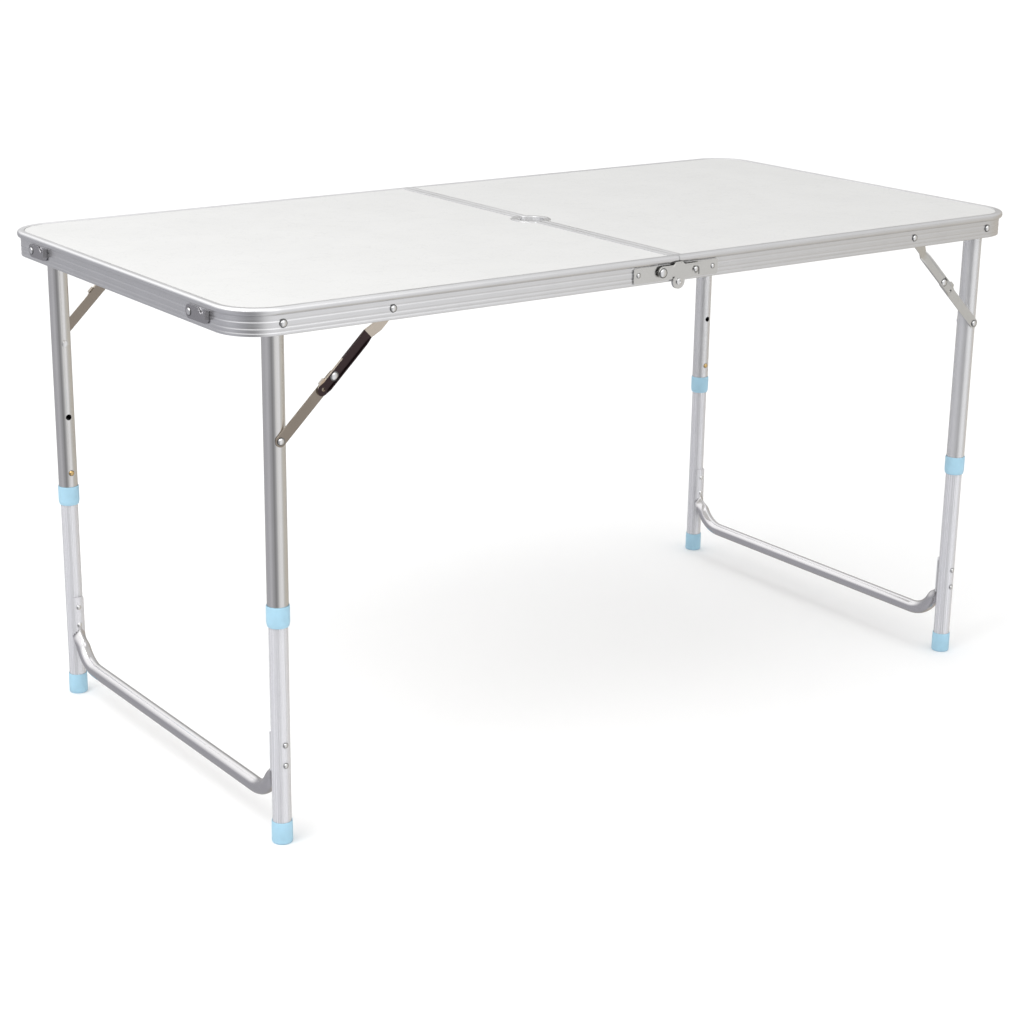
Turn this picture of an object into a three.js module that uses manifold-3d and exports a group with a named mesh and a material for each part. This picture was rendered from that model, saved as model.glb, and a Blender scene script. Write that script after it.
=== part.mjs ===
// Folding picnic table: a two-leaf top that folds in half like a suitcase, on two tubular
// leg frames that slide in to lower the top and swing flat into the leaves.
// Millimetres, +Z up. The floor is z = 0, the leaves meet on a fold line that runs along Y.
import * as THREE from "three";
import { mergeVertices } from "three/addons/utils/BufferGeometryUtils.js";
import Module from "manifold-3d";

// Whole table
const TOP_LENGTH = 1200;
const TOP_WIDTH = 600;
const TOP_HEIGHT = 630;
const CORNER_RADIUS = 55;
const FOLD_GAP = 0.3; // from the fold line to each leaf's frame
const CLEAR = 0.3; // air between any two separate pieces
const THICK_CLEAR = 0.4;

// Aluminium edge rail: a rounded nose along the top, and a grooved face set back below it
const RAIL_HEIGHT = 31;
const RAIL_WALL = 1.8;
const FACE_INSET = 4;
const NOSE_LOW = 22.4; // where the nose starts, measured up from the rail's lower edge
const GROOVE_DEPTH = 0.5;
const GROOVE_WIDTH = 1.6;
const GROOVES = [4.2, 9, 16.4]; // middle of each groove, measured up from the lower edge
const LIP_WIDTH = 9;
const LIP_THICKNESS = 1.1;
const LEDGE_THICKNESS = 1.2;
const SLOT_HEIGHT = 3.2;
const CENTRE_WEB = 1.5;

// Board: its edge sits in the rail's slot, its raised field fills the frame
const BOARD_EDGE_THICKNESS = 2.6;
const BOARD_FIELD_RISE = 0.7;
const HOLE_RADIUS = 17;
const HOLE_FLARE = 12;

// Leg frames
const LEG_X = 542; // from the fold line
const LEG_Y = 272;
const PIVOT_Z = 612;
const UPPER_RADIUS = 12.2;
const UPPER_BORE = 11.3;
const UPPER_TOP = 618.5;
const UPPER_BOTTOM = 267.5;
const LOWER_RADIUS = 11;
const LOWER_BORE = 10.1;
const LOWER_TOP = 376; // below the upper height hole, which stays open
const LOWER_BOTTOM = 3.3;
const COLLAR_RADIUS = 13.4;
const COLLAR_TOP = 289;
const COLLAR_BOTTOM = 264;
const FOOT_RADIUS = 12.2;
const FOOT_TOP = 27;
const BUTTON_Z = 308;
const BUTTON_PITCH = 75;
const BUTTON_RADIUS = 3.4;

// U-shaped stretcher that joins the two lower tubes of a leg frame
const STRETCHER_RADIUS = 9.2;
const STRETCHER_BORE = 8;
const STRETCHER_Z = 48;
const STRETCHER_BEND = 46;
const STRETCHER_REACH = 15; // from a leg's axis to the stretcher's where their sides merge
const TONGUE_TOP = 137; // the pressed ends, curved to fit the legs
const TONGUE_BOTTOM = 82;
const TONGUE_SPREAD = 42; // degrees either side of the leg's inner side
const TONGUE_THICKNESS = 2;
const TONGUE_RIVETS = [98, 123];

// Folding stays
const STAY_DROP = 132; // leg pivot down to the stay's lower rivet
const STAY_REACH = 138; // leg pivot along the rail to the stay's upper rivet
const LINK_WIDTH = 13.2;
const LINK_THICKNESS = 1.4;
const LINK_FLANGE = 3.6;
const LINK_OVERLAP = 27; // how far the upper link runs past the knee

// Hinges, beside the fold line on both long rails
const HINGE_THICKNESS = 1.7;
const HINGE_LUG = 9;
const LOCK_PIN_X = -26.6;
const LOCK_TOOTH_X = 24.4;
const LOCK_Z = 612;

// Latches on the left end, studs and handle on the right end
const LATCH_PIVOTS = [
  ["front", -190],
  ["back", 220],
];
const LATCH_LENGTH = 44;
const LATCH_REACH = 6; // how far a latch stands out of the rail
const LATCH_Z = 612;
const HANDLE_LENGTH = 190;
const HANDLE_REACH = 16;
const HANDLE_WIDTH = 13;
const HANDLE_CAP_LENGTH = 28;
const HANDLE_CAP_HEIGHT = 7.6;
const HANDLE_TONGUE = 2; // thickness of the grip's flat ends, which have 3 mm of play in the caps

const BEND_STEPS = 3; // arc segments are twice this number
const TUBE_SIDES = 12;
const PIN_SIDES = 8;

const HALF_LENGTH = TOP_LENGTH / 2;
const HALF_WIDTH = TOP_WIDTH / 2;
const FACE_X = HALF_LENGTH - FACE_INSET;
const FACE_Y = HALF_WIDTH - FACE_INSET;
const RAIL_BOTTOM = TOP_HEIGHT - RAIL_HEIGHT;
const LIP_BOTTOM = TOP_HEIGHT - LIP_THICKNESS;
const LEDGE_TOP = LIP_BOTTOM - SLOT_HEIGHT;
const LEDGE_BOTTOM = LEDGE_TOP - LEDGE_THICKNESS;
const CENTRE_SHIFT = (LATCH_REACH - HANDLE_REACH) / 2; // centres the overall length on x = 0

const wasm = await Module();
wasm.setup();

const aluminium = new THREE.MeshStandardMaterial({ color: 0xc9cacc, roughness: 0.35, metalness: 1 });
const tube = new THREE.MeshStandardMaterial({ color: 0xd2d1cf, roughness: 0.28, metalness: 1 });
const steel = new THREE.MeshStandardMaterial({ color: 0xa9abad, roughness: 0.3, metalness: 1 });
const brass = new THREE.MeshStandardMaterial({ color: 0xc9a25e, roughness: 0.35, metalness: 1 });
const laminate = new THREE.MeshStandardMaterial({ color: 0xeeeeec, roughness: 0.55, metalness: 0 });
const bluePlastic = new THREE.MeshStandardMaterial({ color: 0xa3cfe4, roughness: 0.5, metalness: 0 });
const greyPlastic = new THREE.MeshStandardMaterial({ color: 0x8d9094, roughness: 0.6, metalness: 0 });

// ---- solids -------------------------------------------------------------------------------

// A closed three.js geometry as a solid with its faces pointing out.
function solid(geometry) {
  const bare = geometry.clone();
  bare.deleteAttribute("normal");
  bare.deleteAttribute("uv");
  const merged = mergeVertices(bare, 1e-4);
  const position = merged.attributes.position;
  const corners = [0, 1, 2].map(() => new THREE.Vector3());
  const faces = [];
  let volume = 0;
  for (let i = 0; i < merged.index.count; i += 3) {
    const face = [0, 1, 2].map((k) => merged.index.getX(i + k));
    if (new Set(face).size < 3) continue;
    face.forEach((vertex, k) => corners[k].fromBufferAttribute(position, vertex));
    volume += corners[0].dot(corners[1].clone().cross(corners[2]));
    faces.push(face);
  }
  if (volume < 0) faces.forEach((face) => face.reverse());
  return new wasm.Manifold(
    new wasm.Mesh({
      numProp: 3,
      vertProperties: new Float32Array(position.array),
      triVerts: new Uint32Array(faces.flat()),
    }),
  );
}

function geometryOf(body) {
  const made = body.getMesh();
  const geometry = new THREE.BufferGeometry();
  geometry.setAttribute("position", new THREE.BufferAttribute(made.vertProperties, 3));
  geometry.setIndex(new THREE.BufferAttribute(made.triVerts, 1));
  const loose = geometry.toNonIndexed();
  loose.computeVertexNormals();
  return loose;
}

const join = (bodies) => bodies.reduce((whole, body) => whole.add(body));
const cut = (body, cutters) => cutters.reduce((left, cutter) => left.subtract(cutter), body);

// An outline in plan (points in x, y) raised from z0 to z1.
function slab(points, z0, z1) {
  const geometry = new THREE.ExtrudeGeometry(new THREE.Shape(points), {
    depth: z1 - z0,
    bevelEnabled: false,
  });
  return solid(geometry.translate(0, 0, z0));
}

// An outline in elevation (shape in x, z) that fills the space between two values of y.
function plate(shape, ya, yb) {
  const geometry = new THREE.ExtrudeGeometry(shape, {
    depth: Math.abs(yb - ya),
    bevelEnabled: false,
    curveSegments: 5,
  });
  return solid(geometry.rotateX(Math.PI / 2).translate(0, Math.max(ya, yb), 0));
}

function box(x0, x1, ya, yb, z0, z1) {
  const geometry = new THREE.BoxGeometry(Math.abs(x1 - x0), Math.abs(yb - ya), z1 - z0);
  return solid(geometry.translate((x0 + x1) / 2, (ya + yb) / 2, (z0 + z1) / 2));
}

// A round bar along Y between two values of y.
function rodY(radius, ya, yb, x, z, sides = PIN_SIDES) {
  const geometry = new THREE.CylinderGeometry(radius, radius, Math.abs(yb - ya), sides);
  return solid(geometry.translate(x, (ya + yb) / 2, z));
}

function rodX(radius, xa, xb, y, z, sides = PIN_SIDES) {
  const geometry = new THREE.CylinderGeometry(radius, radius, Math.abs(xb - xa), sides);
  return solid(geometry.rotateZ(Math.PI / 2).translate((xa + xb) / 2, y, z));
}

// A turned piece about Z from a closed profile of radius and height.
function turned(profile, sides = TUBE_SIDES) {
  const points = profile.map(([radius, height]) => new THREE.Vector2(radius, height));
  return solid(new THREE.LatheGeometry(points, sides).rotateX(Math.PI / 2));
}

// A turned pin about Y: steps of radius, each reaching out to the next value of y.
function pinY(x, z, start, steps) {
  let from = start;
  return join(
    steps.map(([radius, to]) => {
      const step = rodY(radius, from, to, x, z);
      from = to;
      return step;
    }),
  );
}

function piece(parent, name, body, material, place = {}) {
  const made = new THREE.Mesh(geometryOf(body), material);
  made.name = name;
  made.position.set(place.x ?? 0, place.y ?? 0, place.z ?? 0);
  made.rotation.y = place.turn ?? 0;
  parent.add(made);
  return made;
}

// ---- outlines -----------------------------------------------------------------------------

// The leaf's outer edge, moved in by an inset: from the fold line round both corners and back.
function rimLine(side, inset, end = FOLD_GAP) {
  const path = new THREE.Path();
  const bend = CORNER_RADIUS - inset;
  const x = HALF_LENGTH - CORNER_RADIUS;
  const y = HALF_WIDTH - CORNER_RADIUS;
  path.moveTo(end, inset - HALF_WIDTH);
  path.lineTo(x, inset - HALF_WIDTH);
  path.absarc(x, -y, bend, -Math.PI / 2, 0, false);
  path.absarc(x, y, bend, 0, Math.PI / 2, false);
  path.lineTo(end, HALF_WIDTH - inset);
  return path.getPoints(BEND_STEPS).map((p) => new THREE.Vector2(side * p.x, p.y));
}

// The leaf's edge on the fold line, moved in by an inset, with half of the parasol hole.
function foldLine(side, inset, reach) {
  const path = new THREE.Path();
  const x = FOLD_GAP + HOLE_FLARE;
  const y = Math.sqrt((HOLE_RADIUS + HOLE_FLARE) ** 2 - x ** 2);
  const lean = Math.atan2(y, x);
  path.moveTo(FOLD_GAP + inset, -reach);
  path.lineTo(FOLD_GAP + inset, -y);
  path.absarc(x, -y, HOLE_FLARE - inset, Math.PI, Math.PI - lean, true);
  path.absarc(0, 0, HOLE_RADIUS + inset, -lean, lean, false);
  path.absarc(x, y, HOLE_FLARE - inset, Math.PI + lean, Math.PI, true);
  path.lineTo(FOLD_GAP + inset, reach);
  return path.getPoints(BEND_STEPS).map((p) => new THREE.Vector2(side * p.x, p.y));
}

const strip = (outer, inner) => [...outer, ...inner.slice().reverse()];

// A bar with round ends from (0, 0) along +x, in elevation.
function barShape(length, radius, from = 0) {
  const shape = new THREE.Shape();
  shape.absarc(from, 0, radius, Math.PI / 2, (3 * Math.PI) / 2, false);
  shape.absarc(length, 0, radius, -Math.PI / 2, Math.PI / 2, false);
  return shape;
}

function polygon(points) {
  return new THREE.Shape(points.map(([x, z]) => new THREE.Vector2(x, z)));
}

// A path of straight runs and round bends that keeps sections only where it bends.
class KnotPath extends THREE.Curve {
  constructor(knots, tangents) {
    super();
    this.knots = knots;
    this.tangents = tangents;
  }
  getPointAt(u) {
    return this.knots[Math.round(u * (this.knots.length - 1))].clone();
  }
  getTangentAt(u) {
    return this.tangents[Math.round(u * (this.knots.length - 1))].clone();
  }
}

// ---- leaves -------------------------------------------------------------------------------

// A closed section of [inset, height] points, swept round the leaf's outline.
function swept(side, section) {
  const lines = section.map(([inset, z]) => rimLine(side, inset).map((p) => [p.x, p.y, z]));
  const count = lines[0].length;
  const corners = [];
  const put = (j, i) => corners.push(...lines[j % section.length][i]);
  section.forEach((_, j) => {
    for (let i = 0; i + 1 < count; i += 1) {
      put(j, i);
      put(j, i + 1);
      put(j + 1, i + 1);
      put(j, i);
      put(j + 1, i + 1);
      put(j + 1, i);
    }
  });
  const flat = section.map(([inset, z]) => new THREE.Vector2(inset, z));
  for (const [a, b, c] of THREE.ShapeUtils.triangulateShape(flat, [])) {
    const wound = THREE.ShapeUtils.area(flat) > 0 ? [a, b, c] : [a, c, b];
    wound.forEach((j) => put(j, 0));
    wound.reverse().forEach((j) => put(j, count - 1));
  }
  const geometry = new THREE.BufferGeometry();
  geometry.setAttribute("position", new THREE.Float32BufferAttribute(corners, 3));
  return solid(geometry);
}

function railSection() {
  const wall = FACE_INSET + RAIL_WALL;
  const up = (z) => RAIL_BOTTOM + z;
  const section = [[FACE_INSET + 0.8, up(0)], [FACE_INSET, up(0.8)]];
  for (const middle of GROOVES) {
    const half = GROOVE_WIDTH / 2;
    section.push([FACE_INSET, up(middle - half)], [FACE_INSET + GROOVE_DEPTH, up(middle - half + 0.4)]);
    section.push([FACE_INSET + GROOVE_DEPTH, up(middle + half - 0.4)], [FACE_INSET, up(middle + half)]);
  }
  section.push(
    [FACE_INSET, up(NOSE_LOW)],
    [1.6, up(23.2)],
    [0.4, up(24.9)],
    [0, up(27)],
    [0.4, up(29)],
    [1.6, up(30.5)],
    [3.2, up(31)],
    [LIP_WIDTH, TOP_HEIGHT],
    [LIP_WIDTH, LIP_BOTTOM],
    [wall, LIP_BOTTOM],
    [wall, LEDGE_TOP],
    [LIP_WIDTH, LEDGE_TOP],
    [LIP_WIDTH, LEDGE_BOTTOM],
    [wall, LEDGE_BOTTOM],
    [wall, up(0)],
  );
  return section;
}

function leafFrame(parent, side, word) {
  const holes = [];
  for (const row of [-1, 1]) {
    const face = row * (FACE_Y + 1);
    const inside = row * (FACE_Y - RAIL_WALL - 1);
    holes.push(rodY(2.8, inside, face, side * LEG_X, PIVOT_Z));
    holes.push(rodY(2.8, inside, face, side * (LEG_X - STAY_REACH), PIVOT_Z));
  }
  for (const [, y] of LATCH_PIVOTS) {
    const outside = side * (FACE_X + 1);
    holes.push(rodX(2.3, side * (FACE_X - RAIL_WALL - 1), outside, y, LATCH_Z));
  }
  piece(parent, `edge_rail_${word}`, cut(swept(side, railSection()), holes), aluminium);
}

function centreRail(parent, side, word) {
  const reach = HALF_WIDTH - LIP_WIDTH - CLEAR;
  const long = FACE_Y - RAIL_WALL - CLEAR;
  const web = strip(foldLine(side, 0, reach), foldLine(side, CENTRE_WEB, reach));
  const lowWeb = strip(foldLine(side, 0, long), foldLine(side, CENTRE_WEB, long));
  const shelf = strip(foldLine(side, 0, reach), foldLine(side, LIP_WIDTH, reach));
  const body = join([
    slab(lowWeb, RAIL_BOTTOM + 2, LEDGE_BOTTOM - CLEAR),
    slab(web, RAIL_BOTTOM + 2, TOP_HEIGHT),
    slab(shelf, LIP_BOTTOM, TOP_HEIGHT),
    slab(shelf, LEDGE_BOTTOM, LEDGE_TOP),
  ]);
  piece(parent, `centre_rail_${word}`, body, aluminium);
}

function board(parent, side, word) {
  const edge = FACE_INSET + RAIL_WALL + CLEAR;
  const field = LIP_WIDTH + CLEAR;
  const layer = (inset) => {
    const end = FOLD_GAP + inset;
    const fold = foldLine(side, inset, HALF_WIDTH - inset);
    return strip(rimLine(side, inset, end), fold.slice(1, -1));
  };
  const low = LEDGE_TOP + CLEAR;
  const mid = low + BOARD_EDGE_THICKNESS;
  const body = slab(layer(edge), low, mid).add(slab(layer(field), mid, mid + BOARD_FIELD_RISE));
  piece(parent, `board_${word}`, body, laminate);
}

// ---- leg frames ---------------------------------------------------------------------------

const ring = (outer, inner, z0, z1) =>
  turned([
    [inner, z0],
    [outer, z0],
    [outer, z1],
    [inner, z1],
    [inner, z0],
  ]);

function leg(parent, side, row, word) {
  const x = side * LEG_X;
  const y = row * LEG_Y;
  const stayZ = PIVOT_Z - STAY_DROP;
  const through = (radius, z) => rodY(radius, -20, 20, 0, z);
  const inward = (radius, z) => rodY(radius, 0, -row * 20, 0, z);

  const upper = cut(ring(UPPER_RADIUS, UPPER_BORE, UPPER_BOTTOM, UPPER_TOP), [
    through(3.1, PIVOT_Z),
    through(3.1, stayZ),
    inward(BUTTON_RADIUS + 0.5, BUTTON_Z),
    inward(BUTTON_RADIUS + 0.5, BUTTON_Z + BUTTON_PITCH),
  ]);
  piece(parent, `upper_tube_${word}`, upper, tube, { x, y });

  const lower = cut(ring(LOWER_RADIUS, LOWER_BORE, LOWER_BOTTOM, LOWER_TOP), [
    inward(BUTTON_RADIUS + 0.3, BUTTON_Z),
    ...TONGUE_RIVETS.map((z) => through(2.3, z)),
  ]);
  piece(parent, `lower_tube_${word}`, lower, tube, { x, y });

  const collar = turned([
    [LOWER_RADIUS + CLEAR, COLLAR_BOTTOM],
    [COLLAR_RADIUS - 0.6, COLLAR_BOTTOM],
    [COLLAR_RADIUS, COLLAR_BOTTOM + 1.2],
    [COLLAR_RADIUS, COLLAR_TOP],
    [UPPER_RADIUS + CLEAR, COLLAR_TOP],
    [UPPER_RADIUS + CLEAR, UPPER_BOTTOM - CLEAR],
    [LOWER_RADIUS + CLEAR, UPPER_BOTTOM - CLEAR],
    [LOWER_RADIUS + CLEAR, COLLAR_BOTTOM],
  ]);
  piece(parent, `collar_${word}`, collar, bluePlastic, { x, y });

  const foot = turned([
    [0, 0],
    [FOOT_RADIUS - 1, 0],
    [FOOT_RADIUS, 1.5],
    [FOOT_RADIUS, FOOT_TOP],
    [LOWER_RADIUS + CLEAR, FOOT_TOP],
    [LOWER_RADIUS + CLEAR, LOWER_BOTTOM - CLEAR],
    [0, LOWER_BOTTOM - CLEAR],
  ]);
  piece(parent, `foot_${word}`, foot, bluePlastic, { x, y });

  // Spring button: a plunger with a flange inside the lower tube, short enough for the bore
  const button = join([
    rodY(BUTTON_RADIUS + 1.2, -row * 6.4, -row * 7.6, 0, 0, 10),
    rodY(BUTTON_RADIUS, -row * 7.2, -row * 9.6, 0, 0, 10),
    rodY(BUTTON_RADIUS - 0.9, -row * 9.2, -row * 10.1, 0, 0, 10),
  ]);
  piece(parent, `snap_button_${word}`, button, brass, { x, y, z: BUTTON_Z });

  // Leg bolt: outer head, shank through the rail wall, spacer, shank through the tube, tail
  const bolt = pinY(0, 0, row * (FACE_Y + 2.4), [
    [4.8, row * (FACE_Y + CLEAR)],
    [2.5, row * (FACE_Y - RAIL_WALL - CLEAR)],
    [5.5, row * (LEG_Y + UPPER_RADIUS + CLEAR)],
    [2.8, row * (LEG_Y - UPPER_RADIUS - CLEAR)],
    [4.5, row * (LEG_Y - UPPER_RADIUS - 2)],
  ]);
  piece(parent, `leg_bolt_${word}`, bolt, steel, { x, z: PIVOT_Z });

  const linkFace = LEG_Y + UPPER_RADIUS + THICK_CLEAR;
  const rivet = pinY(0, 0, row * (linkFace + LINK_THICKNESS + 2), [
    [4.6, row * (linkFace + LINK_THICKNESS + CLEAR)],
    [2.8, row * (LEG_Y - UPPER_RADIUS - CLEAR)],
    [4.4, row * (LEG_Y - UPPER_RADIUS - 1.8)],
  ]);
  piece(parent, `stay_rivet_${word}`, rivet, steel, { x, z: stayZ });
}

function stretcher(parent, side, word) {
  const endY = LEG_Y - STRETCHER_REACH;
  const knots = [];
  const tangents = [];
  const steps = 2 * BEND_STEPS;
  const bendY = endY - STRETCHER_BEND;
  const bendZ = STRETCHER_Z + STRETCHER_BEND;
  const add = (row, angle) => {
    const c = Math.cos(angle);
    const s = Math.sin(angle);
    const y = row * (bendY + STRETCHER_BEND * c);
    knots.push(new THREE.Vector3(0, y, bendZ - STRETCHER_BEND * s));
    tangents.push(new THREE.Vector3(0, s, row * c));
  };
  for (let i = 0; i <= steps; i += 1) {
    add(-1, (i / steps) * (Math.PI / 2));
  }
  for (let i = steps; i >= 0; i -= 1) {
    add(1, (i / steps) * (Math.PI / 2));
  }
  const section = new THREE.Shape();
  section.absarc(0, 0, STRETCHER_RADIUS, 0, 2 * Math.PI, false);
  const bore = new THREE.Path();
  bore.absarc(0, 0, STRETCHER_BORE, 0, 2 * Math.PI, true);
  section.holes.push(bore);
  const geometry = new THREE.ExtrudeGeometry(section, {
    steps: knots.length - 1,
    curveSegments: 6,
    extrudePath: new KnotPath(knots, tangents),
  });
  // The side of the tube that meets a leg is pressed in to the leg's shape
  const seats = [-1, 1].map((row) => {
    const seat = turned([
      [0, 0],
      [LOWER_RADIUS + CLEAR, 0],
      [LOWER_RADIUS + CLEAR, 200],
      [0, 200],
      [0, 0],
    ]);
    return seat.translate([0, row * LEG_Y, 0]);
  });
  const bodies = [cut(solid(geometry), seats)];

  // Pressed ends, curved round the inner side of the lower tubes and riveted to them
  for (const row of [-1, 1]) {
    const face = LEG_Y - LOWER_RADIUS - CLEAR;
    const back = face - TONGUE_THICKNESS;
    const around = (radius) =>
      [-TONGUE_SPREAD, -30, 0, 30, TONGUE_SPREAD].map((degrees) => {
        const turn = (degrees * Math.PI) / 180;
        const y = row * (LEG_Y - radius * Math.cos(turn));
        return new THREE.Vector2(radius * Math.sin(turn), y);
      });
    const saddle = strip(around(LEG_Y - face), around(LEG_Y - back));
    bodies.push(slab(saddle, TONGUE_BOTTOM, TONGUE_TOP));
    for (const z of TONGUE_RIVETS) {
      const outer = LEG_Y + LOWER_RADIUS;
      bodies.push(rodY(2, row * (back + 1), row * (outer + 1.5), 0, z, 6));
      bodies.push(rodY(3.4, row * (outer + CLEAR), row * (outer + 1.8), 0, z, 6));
      bodies.push(rodY(3.4, row * (back + 0.6), row * (back - 1.4), 0, z, 6));
    }
  }
  piece(parent, `stretcher_${word}`, join(bodies), tube, { x: side * LEG_X });
}

// Each stay is two links on one straight line from the leg up to the rail.
function stay(parent, side, row, word) {
  const inward = -side;
  const span = Math.hypot(STAY_DROP, STAY_REACH);
  const lowerLength = (span - (STAY_REACH - STAY_DROP)) / 2;
  const upperLength = span - lowerLength;
  const rise = Math.atan2(STAY_DROP, STAY_REACH);
  const turn = inward > 0 ? -rise : rise - Math.PI;
  const stayZ = PIVOT_Z - STAY_DROP;
  const x = side * LEG_X;
  const half = LINK_WIDTH / 2;

  const innerFace = LEG_Y + UPPER_RADIUS + THICK_CLEAR;
  const outerFace = innerFace + LINK_THICKNESS;
  const lowerPlate = plate(barShape(lowerLength, half), row * innerFace, row * outerFace);
  const lowerLink = cut(lowerPlate, [rodY(3.1, row * 200, row * 400, 0, 0)]);
  piece(parent, `lower_link_${word}`, lowerLink, steel, { x, z: stayZ, turn });

  // Upper link: a channel open to the outside, whose end steps out to lie on the rail
  const web = outerFace + THICK_CLEAR;
  const railFace = FACE_Y - RAIL_WALL - CLEAR;
  const channelEnd = upperLength - 38;
  const stepEnd = upperLength - 26;
  const near = -LINK_OVERLAP;
  const profile = [
    [near, web],
    [channelEnd, web],
    [stepEnd, railFace - LINK_THICKNESS],
    [upperLength + half, railFace - LINK_THICKNESS],
    [upperLength + half, railFace],
    [stepEnd - 0.6, railFace],
    [channelEnd - 0.6, web + LINK_THICKNESS],
    [near, web + LINK_THICKNESS],
  ].map(([u, w]) => new THREE.Vector2(u, row * w));
  const strap = slab(profile, -half, half);
  const outline = barShape(upperLength, half, near + half);
  const rounded = plate(outline, row * (web - 5), row * (railFace + 5));
  const bodies = [strap.intersect(rounded)];
  for (const edge of [-1, 1]) {
    const inner = edge * (half - LINK_THICKNESS);
    const low = Math.min(inner, edge * half);
    const outer = web + LINK_FLANGE;
    bodies.push(box(near + half, channelEnd, row * web, row * outer, low, low + LINK_THICKNESS));
  }
  const webBack = web + LINK_THICKNESS;
  const tab = [-side * (half - 1), -side * (half + 2.5)];
  bodies.push(box(-19, -11, row * web, row * webBack, Math.min(...tab), Math.max(...tab)));
  bodies.push(rodY(5.6, row * (web + 0.5), row * (webBack + 2), 0, 0, 10));
  bodies.push(rodY(2.5, row * (railFace - 0.5), row * (FACE_Y + 1), upperLength, 0));
  bodies.push(rodY(4.5, row * (FACE_Y + CLEAR), row * (FACE_Y + 2.2), upperLength, 0));
  const hole = rodY(2.2, row * (web - 2), row * (web + 3), near + 8, 0, 8);
  const kneeX = x + inward * lowerLength * Math.cos(rise);
  const kneeZ = stayZ + lowerLength * Math.sin(rise);
  const upperLink = cut(join(bodies), [hole]);
  piece(parent, `upper_link_${word}`, upperLink, steel, { x: kneeX, z: kneeZ, turn });
}

// ---- hinges -------------------------------------------------------------------------------

function hinge(parent, row, word) {
  const layer = (index) => row * (FACE_Y + CLEAR + index * (HINGE_THICKNESS + CLEAR));
  const over = (index) => layer(index) + row * HINGE_THICKNESS;
  const low = RAIL_BOTTOM + 3;
  const high = RAIL_BOTTOM + NOSE_LOW - 0.6;
  const pivotHole = rodY(2.8, row * 200, row * 400, 0, RAIL_BOTTOM);

  const lug = new THREE.Shape();
  lug.absarc(0, RAIL_BOTTOM, HINGE_LUG, 0, 2 * Math.PI, false);
  const block = (x0, x1) => box(x0, x1, layer(0), over(0), low, high);
  const leftPlate = join([
    block(-68, -1),
    plate(lug, layer(0), over(0)),
    rodY(2.6, over(0) - row * 0.5, layer(3) + row * 0.4, LOCK_PIN_X, LOCK_Z),
    rodY(5, layer(3), over(3) - row * 0.2, LOCK_PIN_X, LOCK_Z, 10),
    rodY(3.2, over(0) - row * 0.5, over(0) + row * 1, -61, LOCK_Z, 6),
  ]);
  piece(parent, `hinge_plate_left_${word}`, cut(leftPlate, [pivotHole]), steel);

  // The right plate steps out over the left plate's lug
  const arm = polygon([
    [-3, RAIL_BOTTOM + 8],
    [HINGE_LUG - 0.8, low],
    [20, low],
    [20, low + 12],
    [8, low + 9],
  ]);
  const rightPlate = join([
    block(12, 62.5),
    box(12, 20, layer(0), over(1), low, low + 12),
    plate(arm, layer(1), over(1)),
    plate(lug, layer(1), over(1)),
    rodY(2.6, over(0) - row * 0.5, layer(3) + row * 0.4, LOCK_TOOTH_X, LOCK_Z),
    rodY(3.8, layer(3), over(3) - row * 0.2, LOCK_TOOTH_X, LOCK_Z),
    rodY(3.2, over(0) - row * 0.5, over(0) + row * 1, 54.5, LOCK_Z, 6),
  ]);
  piece(parent, `hinge_plate_right_${word}`, cut(rightPlate, [pivotHole]), steel);

  const pin = join([
    rodY(2.4, layer(0), layer(2) + row * 0.5, 0, RAIL_BOTTOM),
    rodY(4.2, layer(2), over(2), 0, RAIL_BOTTOM),
  ]);
  piece(parent, `hinge_pin_${word}`, pin, steel);

  // Locking bar: pinned on the left, its notch drops over the tooth on the right
  const bar = new THREE.Shape();
  const barTop = LOCK_Z + 6;
  const barLow = LOCK_Z - 6;
  bar.absarc(LOCK_PIN_X, LOCK_Z, 6, Math.PI / 2, (3 * Math.PI) / 2, false);
  [
    [LOCK_TOOTH_X - 3.4, barLow],
    [LOCK_TOOTH_X - 3.4, LOCK_Z + 3.2],
    [LOCK_TOOTH_X + 5.6, LOCK_Z + 3.2],
    [LOCK_TOOTH_X + 5.6, barLow - 1],
    [LOCK_TOOTH_X + 9, barLow + 1],
    [LOCK_TOOTH_X + 10, LOCK_Z],
    [LOCK_TOOTH_X + 8, barTop],
    [8, barTop],
    [5, barTop + 3.5],
    [-7, barTop + 3.5],
    [-10, barTop],
  ].forEach(([x, z]) => bar.lineTo(x, z));
  const pinHole = rodY(2.9, row * 200, row * 400, LOCK_PIN_X, LOCK_Z);
  const lockBar = cut(plate(bar, layer(2), over(2)), [pinHole]);
  piece(parent, `lock_bar_${word}`, lockBar, steel);
}

// ---- ends ---------------------------------------------------------------------------------

function latch(parent, word, y) {
  const face = -FACE_X - CLEAR;
  const arm = new THREE.Shape();
  arm.absarc(0, 0, 8, Math.PI / 2, (3 * Math.PI) / 2, false);
  arm.lineTo(LATCH_LENGTH - 4, -7);
  arm.lineTo(LATCH_LENGTH, -2);
  arm.lineTo(LATCH_LENGTH, 8);
  arm.lineTo(LATCH_LENGTH - 13, 8);
  arm.lineTo(LATCH_LENGTH - 13, 4);
  arm.lineTo(LATCH_LENGTH - 19, 2);
  arm.lineTo(LATCH_LENGTH - 24, 8);
  // The plate is drawn in x, z and turned so that its length runs along -Y on the end face
  const hook = plate(arm, 0, -1.5);
  const lip = box(LATCH_LENGTH - 3, LATCH_LENGTH, -1, CLEAR - LATCH_REACH, -2, 8);
  const head = rodY(5, -1, -3.4, 0, 0, 10);
  const shank = rodY(2, 3, -1, 0, 0);
  const body = join([hook, lip, head, shank]);
  const made = piece(parent, `latch_${word}`, body, steel, { x: face, y, z: LATCH_Z });
  made.rotation.set(0, 0, -Math.PI / 2);
}

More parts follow.
